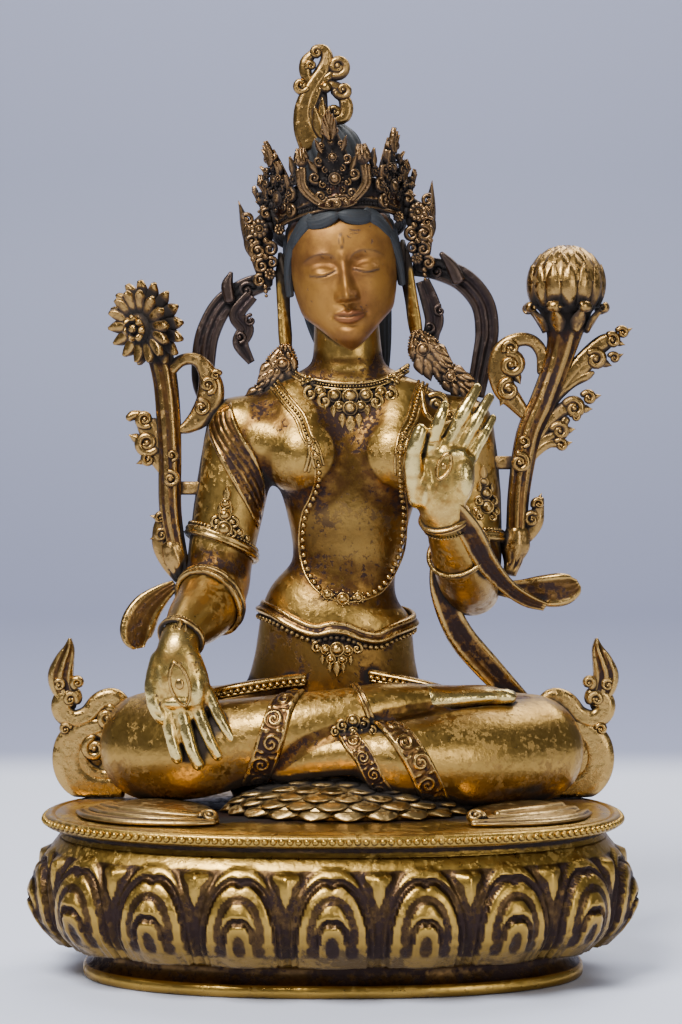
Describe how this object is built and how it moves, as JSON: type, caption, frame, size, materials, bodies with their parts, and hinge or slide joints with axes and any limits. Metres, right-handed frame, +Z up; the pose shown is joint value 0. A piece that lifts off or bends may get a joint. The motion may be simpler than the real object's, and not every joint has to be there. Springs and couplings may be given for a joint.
{
  "type": "seated tara statue",
  "caption": "Cast gilt-copper seated goddess with crown, lotus stems and scarves, legs crossed, right hand lowered in giving, on an oval double-lotus plinth.",
  "frame": {"origin": "middle of the plinth's flat underside", "axes": "+Z up, +X to the viewer's right as seen from the front, +Y away from the viewer; the figure faces -Y"},
  "size_m": [0.24, 0.1483, 0.3771],
  "materials": {
    "gilt_copper": "worn fire gilding, satin to bright on high places, brown oxide in the hollows",
    "plinth_gilt": "worn gilding, brown in the hollows, rubbed bright on the petals",
    "dark_copper": "dark reddish-brown patinated copper with gilt left on high places",
    "face_gold": "matte cold-gold paint with fine painted features",
    "hair_paint": "matte blue-black mineral paint"
  },
  "bodies": {
    "root": {"lotus_plinth": "plinth_gilt", "figure": "gilt_copper", "crown": "dark_copper", "topknot_finial": "gilt_copper", "right_ribbon": "dark_copper", "left_ribbon": "dark_copper", "right_lotus": "gilt_copper", "left_lotus": "gilt_copper", "right_scarf_scroll": "gilt_copper", "left_scarf_scroll": "gilt_copper"}
  },
  "joints": []
}
